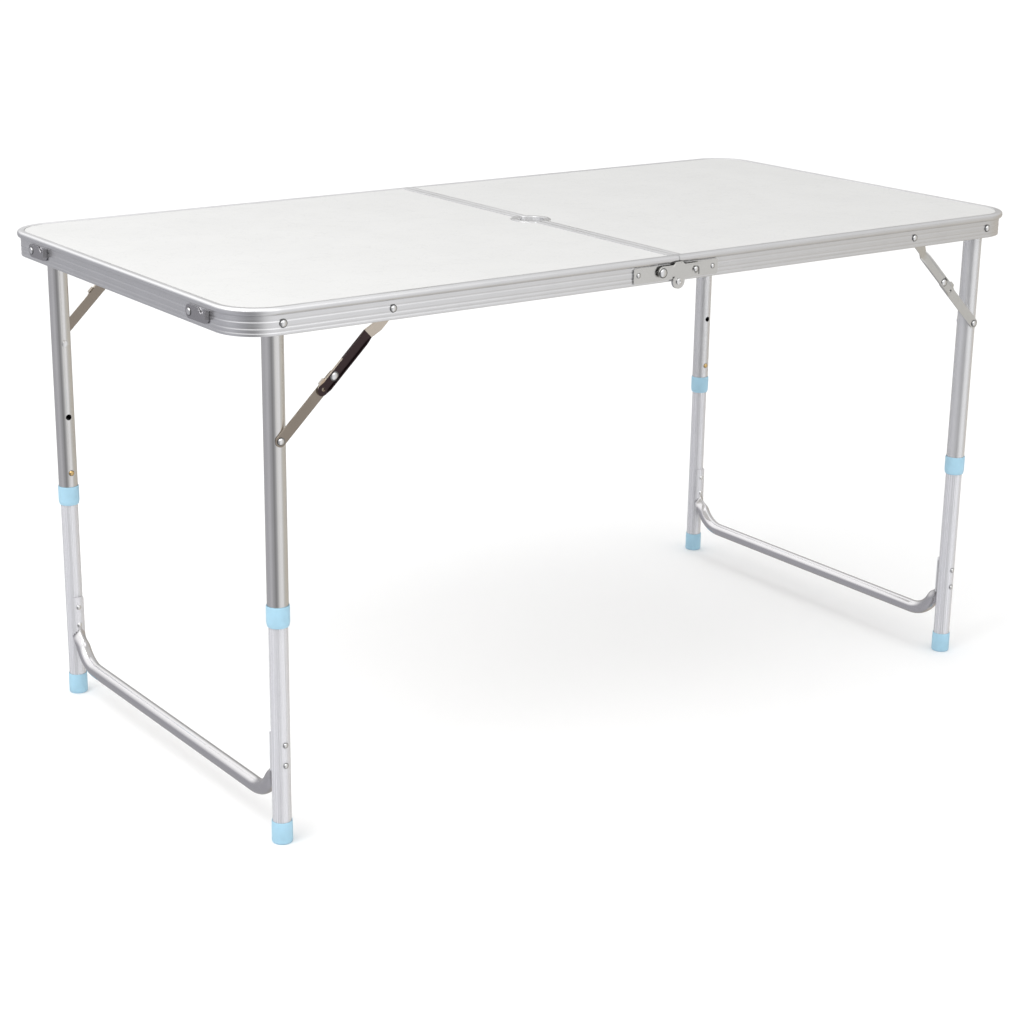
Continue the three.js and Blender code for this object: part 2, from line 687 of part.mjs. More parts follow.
function latchStud(parent, word, y) {
  const face = FACE_X;
  const body = join([
    rodX(2, face - RAIL_WALL - 2, face + 3, y, LATCH_Z),
    rodX(4.5, face + 2.6, face + 4.2, y, LATCH_Z, 8),
    rodX(3.4, face + CLEAR, face + 1.2, y, LATCH_Z, 8),
  ]);
  piece(parent, `latch_stud_${word}`, body, steel);
}

// A low bowed grip whose flat ends sit in two wedge-shaped caps on the end rail.
function handle(parent) {
  const end = HANDLE_LENGTH / 2;
  const mouth = end - HANDLE_CAP_LENGTH;
  const tip = end - 12; // where the grip's flat end stops inside the cap
  const half = HANDLE_WIDTH / 2;
  const across = (points, reach) => {
    const outline = points.map(([out, y]) => new THREE.Vector2(FACE_X + out, y));
    return slab(outline, LATCH_Z - reach, LATCH_Z + reach);
  };
  const flip = ([out, y]) => [out, -y];

  // Points are [distance out from the rail, distance along it from the middle]
  const outer = [
    [0.5 + HANDLE_TONGUE, tip],
    [0.5 + HANDLE_TONGUE, mouth - 1],
    [5.2, mouth - 8],
    [9.2, mouth - 20],
    [12.6, mouth - 34],
    [HANDLE_REACH - 0.8, 18],
    [HANDLE_REACH, 7],
  ];
  const inner = [
    [5.6, 0],
    [7.2, 4],
    [7.2, 14],
    [5.4, 19],
    [6.8, 23],
    [6.2, 33],
    [4.2, 38],
    [1, 44],
    [0.5, mouth - 3],
    [0.5, tip],
  ];
  const grip = [
    ...outer,
    ...outer.slice().reverse().map(flip),
    ...inner.slice(1).reverse().map(flip),
    ...inner,
  ];
  piece(parent, "handle_grip", across(grip, half), greyPlastic);

  for (const [word, row] of [["front", -1], ["back", 1]]) {
    const cap = [
      [CLEAR, row * mouth],
      [HANDLE_CAP_HEIGHT, row * mouth],
      [HANDLE_CAP_HEIGHT - 0.4, row * tip],
      [2.4, row * end],
      [CLEAR, row * end],
    ];
    const pocket = [
      [-1, row * (mouth - 1)],
      [HANDLE_CAP_HEIGHT - 1.4, row * (mouth - 1)],
      [HANDLE_CAP_HEIGHT - 1.7, row * (tip + CLEAR)],
      [-1, row * (tip + CLEAR)],
    ];
    const body = cut(across(cap, half + 2.5), [across(pocket, half + CLEAR)]);
    piece(parent, `handle_cap_${word}`, body, greyPlastic);
  }
}

// ---- table --------------------------------------------------------------------------------

const table = new THREE.Group();
table.position.x = CENTRE_SHIFT;

for (const [side, end] of [[-1, "left"], [1, "right"]]) {
  leafFrame(table, side, end);
  centreRail(table, side, end);
  board(table, side, end);
  stretcher(table, side, end);
  for (const [row, edge] of [[-1, "front"], [1, "back"]]) {
    leg(table, side, row, `${end}_${edge}`);
    stay(table, side, row, `${end}_${edge}`);
  }
}
for (const [row, edge] of [[-1, "front"], [1, "back"]]) {
  hinge(table, row, edge);
}
for (const [word, y] of LATCH_PIVOTS) {
  latch(table, word, y);
  latchStud(table, word, y);
}
handle(table);

export default table;
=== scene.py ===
import math

import bmesh
import bpy
from mathutils import Matrix, Vector


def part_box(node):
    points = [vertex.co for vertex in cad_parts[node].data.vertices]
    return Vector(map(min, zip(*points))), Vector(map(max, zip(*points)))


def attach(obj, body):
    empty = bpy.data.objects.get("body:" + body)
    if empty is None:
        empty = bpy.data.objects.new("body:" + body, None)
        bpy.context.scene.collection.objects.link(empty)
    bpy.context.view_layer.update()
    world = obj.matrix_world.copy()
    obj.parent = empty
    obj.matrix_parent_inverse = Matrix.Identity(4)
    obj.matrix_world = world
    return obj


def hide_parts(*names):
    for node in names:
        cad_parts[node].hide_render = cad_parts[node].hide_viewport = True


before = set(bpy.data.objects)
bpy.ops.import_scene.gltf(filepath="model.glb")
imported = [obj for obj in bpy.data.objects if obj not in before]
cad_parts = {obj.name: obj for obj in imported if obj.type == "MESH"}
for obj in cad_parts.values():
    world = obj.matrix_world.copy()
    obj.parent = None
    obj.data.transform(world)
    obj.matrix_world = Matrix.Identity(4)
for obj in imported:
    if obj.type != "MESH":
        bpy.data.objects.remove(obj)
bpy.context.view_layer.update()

# Everything is drawn in millimetres about the fold line, floor at z = 0, then placed in the frame.
PIN_LOW, PIN_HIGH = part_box("hinge_pin_front")
FOLD_X = (PIN_LOW.x + PIN_HIGH.x) / 2
PLACE = Matrix.Translation((FOLD_X, 0, 0)) @ Matrix.Scale(0.001, 4)

# Tabletop and rails
HALF_LENGTH = 600
HALF_WIDTH = 300
CORNER = 55  # radius of the top's corners
GAP = 0.3  # from each leaf to the fold line, and from the board to its rails
CLEAR = 0.3  # between pieces that lie on each other
RAIL_LOW = 599  # underside of the edge rails, and height of the hinge pins
RIVET_Z = 612  # bolts, rivets and studs in the edge rails
FACE = 4  # how far the rail's face is set back from its nose
WALL = 1.8
LIP = 9  # how far in the rails' lips reach
FACE_X = HALF_LENGTH - FACE
FACE_Y = HALF_WIDTH - FACE
HOLE = 17  # radius of the parasol hole
FLARE = 12  # radius of the curves that lead into it

# Legs and stays
LEG_X = 542
LEG_Y = 272
UPPER = 12.2  # outer radii of the tubes
LOWER = 11.0
TUBE_WALL = 0.9
BUTTON_Z = 308
OPEN_HOLE_Z = 383  # the next height hole up
STAY_Z = 480  # rivet between a stay and its leg
LINK_Y = LEG_Y + UPPER + 0.4  # inner face of a lower link
SHEET = 1.4  # thickness of the links
LINK_HALF = 6.6  # half their width

ENDS = (("left", -1), ("right", 1))
ROWS = (("front", -1), ("back", 1))
LATCHES = (("front", -190), ("back", 220))  # and where they lie along the ends


# ---- materials ----------------------------------------------------------------------------

class Finish:
    """A Principled material, with helpers that feed its sockets from procedural textures."""

    def __init__(self, name, colour, metallic, roughness):
        self.material = bpy.data.materials.new(name)
        self.material.use_nodes = True
        self.material.diffuse_color = (*colour, 1)
        self.nodes = self.material.node_tree.nodes
        self.links = self.material.node_tree.links
        self.shader = self.nodes["Principled BSDF"]
        self.shader.inputs["Base Color"].default_value = (*colour, 1)
        self.shader.inputs["Metallic"].default_value = metallic
        self.shader.inputs["Roughness"].default_value = roughness
        self.place = self.nodes.new("ShaderNodeTexCoord").outputs["Object"]

    def add(self, kind, **settings):
        """A new node of this kind, with its properties set."""
        node = self.nodes.new(kind)
        for key, value in settings.items():
            setattr(node, key, value)
        return node

    def noise(self, scale, size=1.0, detail=4.0):
        """Noise over the object, scaled separately along x, y and z."""
        stretch = self.add("ShaderNodeMapping")
        stretch.inputs["Scale"].default_value = scale
        self.links.new(self.place, stretch.inputs["Vector"])
        node = self.add("ShaderNodeTexNoise")
        node.inputs["Scale"].default_value = size
        node.inputs["Detail"].default_value = detail
        self.links.new(stretch.outputs["Vector"], node.inputs["Vector"])
        return node.outputs["Fac"]

    def spread(self, value, low, high, new_low, new_high):
        """Maps the range from low to high onto the new range."""
        node = self.add("ShaderNodeMapRange")
        for socket, number in zip(node.inputs[1:5], (low, high, new_low, new_high)):
            socket.default_value = number
        self.links.new(value, node.inputs["Value"])
        return node.outputs["Result"]

    def blend(self, factor, first, second):
        """Mixes two colours, each a tuple or another node's output."""
        node = self.add("ShaderNodeMix", data_type="RGBA")
        self.links.new(factor, node.inputs["Factor"])
        for socket, colour in ((node.inputs[6], first), (node.inputs[7], second)):
            if isinstance(colour, tuple):
                socket.default_value = (*colour, 1)
            else:
                self.links.new(colour, socket)
        return node.outputs[2]

    def feed(self, socket, value):
        """Drives one of the shader's sockets."""
        self.links.new(value, self.shader.inputs[socket])

    def bump(self, height, strength, distance):
        """Raises the surface by a texture, the distance in metres."""
        node = self.add("ShaderNodeBump")
        node.inputs["Strength"].default_value = strength
        node.inputs["Distance"].default_value = distance
        self.links.new(height, node.inputs["Height"])
        self.feed("Normal", node.outputs["Normal"])


def tone(colour, factor):
    """The colour made lighter or darker."""
    return tuple(min(1.0, c * factor) for c in colour)


def metal(name, colour, roughness, streak, swing=0.06, strength=0.12, cloud=30, bare=1.0):
    """Drawn or plated metal: fine streaks over soft clouding.

    streak scales the streaks along x, y and z, and swing is how far the roughness varies. bare
    is how metallic it is, below 1 for a coated or anodised surface.
    """
    made = Finish(name, colour, bare, roughness)
    fine = made.noise(streak, 1.0, 3.0)
    soft = made.noise((cloud, cloud, cloud), 1.0, 3.0)
    even = made.spread(fine, 0.3, 0.7, 0.0, 1.0)
    lined = made.blend(even, tone(colour, 0.95), tone(colour, 1.04))
    patch = made.spread(soft, 0.35, 0.65, 0.0, 1.0)
    made.feed("Base Color", made.blend(patch, lined, tone(colour, 0.97)))
    rough = made.spread(fine, 0.25, 0.75, roughness - swing, roughness + swing)
    made.feed("Roughness", rough)
    made.bump(fine, strength, 0.00006)
    return made.material


def plastic(name, colour, roughness, grain=1400):
    """Moulded plastic: faint uneven tone and a fine eggshell surface."""
    made = Finish(name, colour, 0.0, roughness)
    soft = made.noise((60, 60, 60), 1.0, 3.0)
    patch = made.spread(soft, 0.3, 0.7, 0.0, 1.0)
    made.feed("Base Color", made.blend(patch, tone(colour, 0.95), tone(colour, 1.05)))
    fine = made.noise((grain, grain, grain), 1.0, 2.0)
    made.feed("Roughness", made.spread(fine, 0.3, 0.7, roughness - 0.05, roughness + 0.06))
    made.bump(fine, 0.15, 0.00008)
    return made.material


def laminate(name):
    """White printed laminate with a network of fine grey cracks."""
    colour = (0.64, 0.64, 0.632)
    crack_colour = (0.52, 0.52, 0.515)
    made = Finish(name, colour, 0.0, 0.42)

    # The cracks follow the edges of two sizes of cell, in a space bent by noise
    wander = made.add("ShaderNodeTexNoise")
    wander.inputs["Scale"].default_value = 90
    wander.inputs["Detail"].default_value = 3
    made.links.new(made.place, wander.inputs["Vector"])
    shift = made.add("ShaderNodeVectorMath", operation="SCALE")
    shift.inputs["Scale"].default_value = 0.010
    made.links.new(wander.outputs["Color"], shift.inputs[0])
    warped = made.add("ShaderNodeVectorMath", operation="ADD")
    made.links.new(made.place, warped.inputs[0])
    made.links.new(shift.outputs["Vector"], warped.inputs[1])
    cracks = []
    for scale, width in ((85, 0.045), (190, 0.035)):
        cell = made.add("ShaderNodeTexVoronoi", feature="DISTANCE_TO_EDGE")
        cell.inputs["Scale"].default_value = scale
        made.links.new(warped.outputs["Vector"], cell.inputs["Vector"])
        cracks.append(made.spread(cell.outputs["Distance"], 0.0, width, 1.0, 0.0))

    # They fade in and out over the surface
    both = made.add("ShaderNodeMath", operation="MAXIMUM")
    made.links.new(cracks[0], both.inputs[0])
    made.links.new(cracks[1], both.inputs[1])
    broken = made.spread(made.noise((40, 40, 40), 1.0, 2.0), 0.42, 0.58, 0.08, 0.36)
    line = made.add("ShaderNodeMath", operation="MULTIPLY")
    made.links.new(both.outputs[0], line.inputs[0])
    made.links.new(broken, line.inputs[1])

    soft = made.spread(made.noise((14, 14, 14), 1.0, 3.0), 0.35, 0.65, 0.0, 1.0)
    plain = made.blend(soft, tone(colour, 0.985), tone(colour, 1.01))
    made.feed("Base Color", made.blend(line.outputs[0], plain, crack_colour))
    made.feed("Roughness", made.spread(line.outputs[0], 0.0, 1.0, 0.40, 0.60))
    made.bump(line.outputs[0], 0.2, 0.00005)
    return made.material


RAIL = metal("rail_aluminium", (0.80, 0.80, 0.81), 0.30, (6, 6, 2600), 0.05, 0.08)
FOLD = metal("fold_rail_aluminium", (0.74, 0.74, 0.745), 0.30, (6, 6, 2600), 0.05, 0.08)
TUBE = metal("tube_aluminium", (0.79, 0.78, 0.77), 0.16, (1500, 1500, 6), 0.04, 0.08)
SOFT = metal("soft_aluminium", (0.78, 0.78, 0.79), 0.18, (1500, 1500, 6), 0.04, 0.08, bare=0.72)
PIPE = metal("anodised_tube", (0.76, 0.76, 0.79), 0.26, (1500, 1500, 6), 0.04, 0.08, bare=0.45)
BAR = metal("bent_tube_aluminium", (0.68, 0.67, 0.68), 0.18, (1500, 6, 1500), 0.04, 0.08)
ZINC = metal("plated_steel", (0.74, 0.735, 0.72), 0.24, (120, 120, 120), 0.04, 0.02, 60)
DULL = metal("dull_plated_steel", (0.47, 0.46, 0.475), 0.24, (120, 120, 120), 0.04, 0.02, 60)
BROWNED = metal("browned_steel", (0.305, 0.262, 0.218), 0.20, (120, 120, 120), 0.04, 0.02, 40)
PALE = metal("pale_browned_steel", (0.62, 0.55, 0.47), 0.24, (120, 120, 120), 0.04, 0.02, 60)
BRIGHT = metal("bright_steel", (0.84, 0.84, 0.84), 0.12, (500, 500, 500), 0.03, 0.03, 120)
# Near black for the flanges of rivet, pin and bolt heads: painted shade round each head
RIM_PAINTED_SHADE = metal("flange_painted_shade", (0.20, 0.20, 0.20), 0.40, (300, 300, 300), 0.06, 0.04, 90)
# Near black for the inside of the left upper links' channels and their sides: painted shade
CHANNEL_PAINTED_SHADE = metal("channel_painted_shade", (0.060, 0.042, 0.043), 0.30, (120, 120, 120), 0.05, 0.02, 60)
# Near black: painted shade inside the upper tubes and in the gap round the lock bar
SHADE = plastic("black_painted_shade", (0.035, 0.033, 0.031), 0.7)
BRASS = metal("brass", (0.78, 0.55, 0.25), 0.24, (500, 500, 500), 0.05, 0.06, 150)
BLUE = plastic("blue_plastic", (0.37, 0.60, 0.74), 0.42)
GREY = plastic("grey_plastic", (0.27, 0.275, 0.27), 0.50, 900)
WHITE = laminate("laminate")
UNDER = plastic("board_underside", (0.74, 0.73, 0.71), 0.60, 500)


# ---- mesh helpers -------------------------------------------------------------------------

class Body:
    """Vertices and faces in millimetres. Each face remembers which material it takes."""

    def __init__(self):
        self.points = []
        self.faces = []
        self.looks = []

    def add(self, points, faces, look=0):
        """Adds faces with one look, or with a list of a look for each."""
        start = len(self.points)
        self.points += [tuple(p) for p in points]
        self.faces += [tuple(start + i for i in face) for face in faces]
        self.looks += look if isinstance(look, list) else [look] * len(faces)
        return self

    def rings(self, rings, look=0, caps=True, closed=False):
        """Joins rings of equal length into a skin, each ring to the next.

        A list of looks is repeated until every face has one. The caps take look 0.
        """
        count = len(rings[0])
        points = [p for ring in rings for p in ring]
        faces = []
        spans = len(rings) if closed else len(rings) - 1
        for k in range(spans):
            a = k * count
            b = ((k + 1) % len(rings)) * count
            for i in range(count):
                j = (i + 1) % count
                faces.append((a + i, a + j, b + j, b + i))
        if isinstance(look, list):
            look = look * (len(faces) // len(look))
        else:
            look = [look] * len(faces)
        if caps and not closed:
            faces.append(tuple(range(count - 1, -1, -1)))
            faces.append(tuple(range((len(rings) - 1) * count, len(rings) * count)))
            look += [0, 0]
        return self.add(points, faces, look)

    def turned(self, profile, centre, axis, sides=32, look=0, closed=False):
        """Turns a profile of (radius, height) about an axis through centre."""
        axis = Vector(axis).normalized()
        side = axis.orthogonal().normalized()
        other = axis.cross(side)
        centre = Vector(centre)
        rings = []
        for radius, height in profile:
            ring = []
            for i in range(sides):
                angle = 2 * math.pi * i / sides
                out = side * math.cos(angle) + other * math.sin(angle)
                ring.append(centre + axis * height + out * max(radius, 0.01))
            rings.append(ring)
        return self.rings(rings, look, True, closed)

    def prism(self, outline, low, high, place, look=0):
        """Raises an outline of (a, b) from low to high. place turns (a, b, height) into a point."""
        rings = [[place(a, b, low) for a, b in outline], [place(a, b, high) for a, b in outline]]
        return self.rings(rings, look)


def facing_y(a, b, height):
    """Places an outline of (x, z) upright, raised along Y."""
    return (a, height, b)


def solid(name, shape):
    """An object of a shape in millimetres, its faces turned outwards."""
    mesh = bpy.data.meshes.new(name)
    mesh.from_pydata([tuple(p) for p in shape.points], [], shape.faces)
    work = bmesh.new()
    work.from_mesh(mesh)
    bmesh.ops.recalc_face_normals(work, faces=work.faces)
    work.to_mesh(mesh)
    work.free()
    made = bpy.data.objects.new(name, mesh)
    bpy.context.scene.collection.objects.link(made)
    return made


def build(name, shape, materials, smooth=32, bevel=0.0, segments=2, cuts=()):
    """Makes an object of a shape, cuts its holes, and moves it into the frame.

    Edges sharper than smooth, in degrees, stay hard. Edges over 40 degrees are rounded by bevel,
    in millimetres.
    """
    piece = solid(name, shape)
    mesh = piece.data
    for material in materials:
        mesh.materials.append(material)
    mesh.polygons.foreach_set("material_index", shape.looks)
    cutters = [solid("cutter", cut) for cut in cuts]
    for cutter in cutters:
        step = piece.modifiers.new("cut", "BOOLEAN")
        step.object = cutter
        step.operation = "DIFFERENCE"
        step.solver = "EXACT"
        step.use_self = True
    if cutters:
        graph = bpy.context.evaluated_depsgraph_get()
        mesh = bpy.data.meshes.new_from_object(piece.evaluated_get(graph))
        piece.modifiers.clear()
        piece.data = mesh
        for cutter in cutters:
            bpy.data.objects.remove(cutter)
    mesh.transform(PLACE)
    mesh.shade_smooth()
    mesh.set_sharp_from_angle(angle=math.radians(smooth))
    if bevel:
        round_off = piece.modifiers.new("rounded edges", "BEVEL")
        round_off.width = bevel * 0.001
        round_off.segments = segments
        round_off.limit_method = "ANGLE"
        round_off.angle_limit = math.radians(40)
        round_off.harden_normals = False
    return piece


def stand(piece, body, slot, *nodes):
    """The piece rides on a body in place of these CAD nodes. Its slot argument is not used."""
    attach(piece, body)
    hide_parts(*nodes)
    return piece


def arc(cx, cy, radius, start, end, steps):
    """Points on an arc, angles in degrees."""
    turn = [math.radians(start + (end - start) * i / steps) for i in range(steps + 1)]
    return [(cx + radius * math.cos(a), cy + radius * math.sin(a)) for a in turn]


def flowing(points, steps):
    """A smooth line through the points."""
    line = []
    for i in range(len(points) - 1):
        before = points[max(i - 1, 0)]
        a, b = points[i], points[i + 1]
        after = points[min(i + 2, len(points) - 1)]
        for k in range(steps):
            t = k / steps
            line.append(tuple(
                0.5 * (2 * q + (r - p) * t + (2 * p - 5 * q + 4 * r - s) * t * t
                       + (3 * q - p - 3 * r + s) * t ** 3)
                for p, q, r, s in zip(before, a, b, after)
            ))
    line.append(points[-1])
    return line


def dome(radius, base, height):
    """The profile of a domed head: a thin flange, a small step and a crown, rising from base."""
    edge = height * 0.25
    crown = [(0.8 * radius * math.cos(a), base + edge + (height - edge) * math.sin(a))
             for a in (math.radians(15 * k) for k in range(7))]
    return [(radius * 0.97, base), (radius, base + edge * 0.4), (radius * 0.97, base + edge), *crown]


def headed(shape, profile, centre, axis, sides, bright, dark):
    """Turns a profile that ends in a dome, whose flange takes the dark look: painted shade round the
    head.
    """
    spans = [bright] * (len(profile) - 1)
    for k in range(-9, -6):
        spans[k] = dark
    looks = [look for look in spans for _ in range(sides)]
    shape.turned(profile, centre, axis, sides, looks)
    return shape


# ---- leaves -------------------------------------------------------------------------------

def rim(side, inset, end=GAP):
    """The leaf's outer edge moved in by an inset, from the fold line round and back."""
    bend = CORNER - inset
    x = HALF_LENGTH - CORNER
    y = HALF_WIDTH - CORNER
    line = [(end, inset - HALF_WIDTH)]
    line += arc(x, -y, bend, -90, 0, 18)
    line += arc(x, y, bend, 0, 90, 18)
    line.append((end, HALF_WIDTH - inset))
    return [(side * px, py) for px, py in line]


def fold(side, inset, reach):
    """The leaf's edge on the fold line moved in by an inset, with half of the parasol hole."""
    x = GAP + FLARE
    y = math.sqrt((HOLE + FLARE) ** 2 - x ** 2)
    lean = math.degrees(math.atan2(y, x))
    line = [(GAP + inset, -reach)]
    line += arc(x, -y, FLARE - inset, 180, 180 - lean, 6)
    line += arc(0, 0, HOLE + inset, -lean, lean, 20)
    line += arc(x, y, FLARE - inset, 180 + lean, 180, 6)
    line.append((GAP + inset, reach))
    return [(side * px, py) for px, py in line]


def leaf_rail(word, kind, lines, finish):
    """A rail of one leaf, from the lines that run along it, one for each corner of its section."""
    shape = Body().rings(list(zip(*lines)))
    piece = build(f"{kind}_rail_{word}_fine", shape, (finish,), smooth=24)
    stand(piece, f"{word}_leaf", "rail_aluminium", f"{kind}_rail_{word}")


def edge_rail(word, side):
    """The rail round a leaf: a grooved face, a rounded nose and two lips that hold the board."""
    groove_half = 1.9
    groove_deep = 0.38
    up = [(FACE + 1.0, 0), (FACE + 0.3, 0.25), (FACE, 0.9)]
    for middle in (4.2, 9.0, 16.4):
        for k in range(-6, 7):
            deep = groove_deep / 2 * (1 + math.cos(math.pi * k / 6))
            up.append((FACE + deep, middle + groove_half * k / 6))
    up.append((FACE, 21.4))
    nose = [(FACE, 22.1), (2.9, 22.7), (1.3, 23.6), (0.3, 25.1), (0, 27), (0.35, 28.9),
            (1.4, 30.3), (2.9, 30.9), (4.2, 31)]
    up += flowing(nose, 3)
    up += [(8.4, 31), (8.8, 30.9), (LIP, 30.6), (LIP, 29.9), (FACE + WALL, 29.9),
           (FACE + WALL, 26.7), (LIP, 26.7), (LIP, 25.5), (FACE + WALL, 25.5), (FACE + WALL, 0)]
    lines = [[(x, y, RAIL_LOW + z) for x, y in rim(side, inset)] for inset, z in up]
    leaf_rail(word, "edge", lines, RAIL)


def centre_rail(word, side):
    """The rail along the fold, which widens round its half of the parasol hole."""
    section = [(0, 602), (0, 629.5), (0.15, 629.85), (0.5, 630), (3.8, 630), (4.1, 629.7),
               (4.9, 629.7), (5.2, 630), (8.5, 630), (8.85, 629.85), (LIP, 629.5), (LIP, 628.9),
               (1.5, 628.9), (1.5, 625.7), (LIP, 625.7), (LIP, 624.5), (1.5, 624.5), (1.5, 602)]
    reach = HALF_WIDTH - LIP - CLEAR
    lines = [[(x, y, z) for x, y in fold(side, inset, reach)] for inset, z in section]
    leaf_rail(word, "centre", lines, FOLD)


def board(word, side):
    """A leaf's board, which stands slightly higher inside the lips of its rails."""
    def outline(inset):
        """The board's edge: round the leaf, then back along the fold and its half hole."""
        around = rim(side, inset, GAP + inset)
        notch = fold(side, inset, HALF_WIDTH - inset)[1:-1]
        return around + notch[::-1]

    under = FACE + WALL + GAP
    field = LIP + GAP
    steps = ((under, 626.0), (under, 628.6), (field, 628.6), (field, 629.1), (field + 0.25, 629.3))
    rings = [[(x, y, z) for x, y in outline(inset)] for inset, z in steps]
    shape = Body().rings(rings)
    shape.looks[-2] = 1  # the lower cap
    piece = build(f"board_{word}_fine", shape, (WHITE, UNDER), smooth=24)
    stand(piece, f"{word}_leaf", "laminate", f"board_{word}")


# ---- leg frames ---------------------------------------------------------------------------

def hollow(outer, inner, low, high):
    """The wall of a tube as a closed profile, its ends slightly rounded."""
    return [(inner, low + 0.2), (inner + 0.2, low), (outer - 0.35, low), (outer, low + 0.35),
            (outer, high - 0.35), (outer - 0.35, high), (inner + 0.2, high), (inner, high - 0.2)]


def button_hole(x, y, z, row, radius):
    """A cutter through the side of a leg that faces the middle of the table."""
    return Body().turned([(radius, 0), (radius, 20)], (x, y, z), (0, -row, 0), 24)


def leg(end, side, edge, row):
    """A leg: its two tubes, collar, foot, snap button, bolt and the rivet of its stay."""
    word = f"{end}_{edge}"
    x = side * LEG_X
    y = row * LEG_Y
    up = (0, 0, 1)
    out = (0, row, 0)
    sides = 48

    # The tube's inner wall takes the near-black SHADE, painted shade inside the tube
    inside = [0] * sides * 7 + [1] * sides
    wall = hollow(UPPER, UPPER - TUBE_WALL, 267.5, 618.5)
    shape = Body().turned(wall, (x, y, 0), up, sides, inside, True)
    holes = [button_hole(x, y, z, row, 3.9) for z in (BUTTON_Z, OPEN_HOLE_Z)]
    skin = TUBE if side < 0 else SOFT
    piece = build(f"upper_tube_{word}_fine", shape, (skin, SHADE), cuts=holes)
    stand(piece, f"{end}_leg_frame", "tube_aluminium", f"upper_tube_{word}")

    wall = hollow(LOWER, LOWER - TUBE_WALL, 3.3, 376)
    shape = Body().turned(wall, (x, y, 0), up, sides, closed=True)
    hole = button_hole(x, y, BUTTON_Z, row, 3.7)
    piece = build(f"lower_tube_{word}_fine", shape, (PIPE,), cuts=[hole])
    stand(piece, f"{end}_lower_frame", "tube_aluminium", f"lower_tube_{word}")

    gap = LOWER + CLEAR
    collar = [(gap, 264.4), (gap + 0.3, 264), (12.0, 264), (12.5, 264.6), (13.3, 268.5), (13.4, 270),
              (13.4, 286.6), (13.25, 288.2), (12.9, 289), (12.6, 288.8), (UPPER + CLEAR, 288.2),
              (UPPER + CLEAR, 267.2), (gap, 267.2)]
    shape = Body().turned(collar, (x, y, 0), up, sides, closed=True)
    piece = build(f"collar_{word}_fine", shape, (BLUE,), smooth=50)
    stand(piece, f"{end}_leg_frame", "blue_plastic", f"collar_{word}")

    foot = [(0, 0), (10.2, 0), (11.4, 0.35), (12.0, 1.2), (12.2, 2.4), (12.2, 21.5), (12.05, 22.2),
            (12.05, 26), (11.9, 26.8), (11.6, 27), (gap + 0.1, 26.9), (gap, 26.4), (gap, 3), (0, 3)]
    shape = Body().turned(foot, (x, y, 0), up, sides)
    piece = build(f"foot_{word}_fine", shape, (BLUE,), smooth=50)
    stand(piece, f"{end}_lower_frame", "blue_plastic", f"foot_{word}")

    tip = 3.4  # radius of the button's tip
    button = [(0.01, 6.4), (4.5, 6.4), (4.6, 7.6), (tip, 7.6), (tip, UPPER)]
    button += [(tip * math.cos(a), UPPER + 2.0 * math.sin(a))
               for a in (math.radians(18 * k) for k in range(1, 6))]
    shape = Body().turned(button, (x, y, BUTTON_Z), (0, -row, 0), 24)
    piece = build(f"snap_button_{word}_fine", shape, (BRASS,), smooth=40)
    stand(piece, f"button_{word}", "brass", f"snap_button_{word}")

    # Leg bolt from inside outwards: tail, shank through the tube, spacer, shank, domed head
    tube = LEG_Y + UPPER + CLEAR
    inner = LEG_Y - UPPER - CLEAR
    rail = FACE_Y - WALL - CLEAR
    bolt = [(0.01, inner - 1.7), (3.6, inner - 1.7), (4.5, inner - 1.0), (4.5, inner),
            (2.8, inner), (2.8, tube), (5.5, tube), (5.5, rail), (2.5, rail), (2.5, FACE_Y + CLEAR)]
    bolt += dome(4.8, FACE_Y + CLEAR, 2.1)
    shape = headed(Body(), bolt, (x, 0, RIVET_Z), out, 28, 0, 1)
    piece = build(f"leg_bolt_{word}_fine", shape, (BRIGHT, RIM_PAINTED_SHADE), smooth=40)
    stand(piece, f"{end}_leaf", "bright_steel", f"leg_bolt_{word}")

    link = LINK_Y + SHEET
    rivet = [(0.01, inner - 1.5), (3.4, inner - 1.5), (4.4, inner - 0.9), (4.4, inner),
             (2.8, inner), (2.8, link + CLEAR)]
    rivet += dome(4.6, link + CLEAR, 1.9)
    shape = headed(Body(), rivet, (x, 0, STAY_Z), out, 28, 0, 1)
    piece = build(f"stay_rivet_{word}_fine", shape, (BRIGHT, RIM_PAINTED_SHADE), smooth=40)
    stand(piece, f"{end}_leg_frame", "bright_steel", f"stay_rivet_{word}")


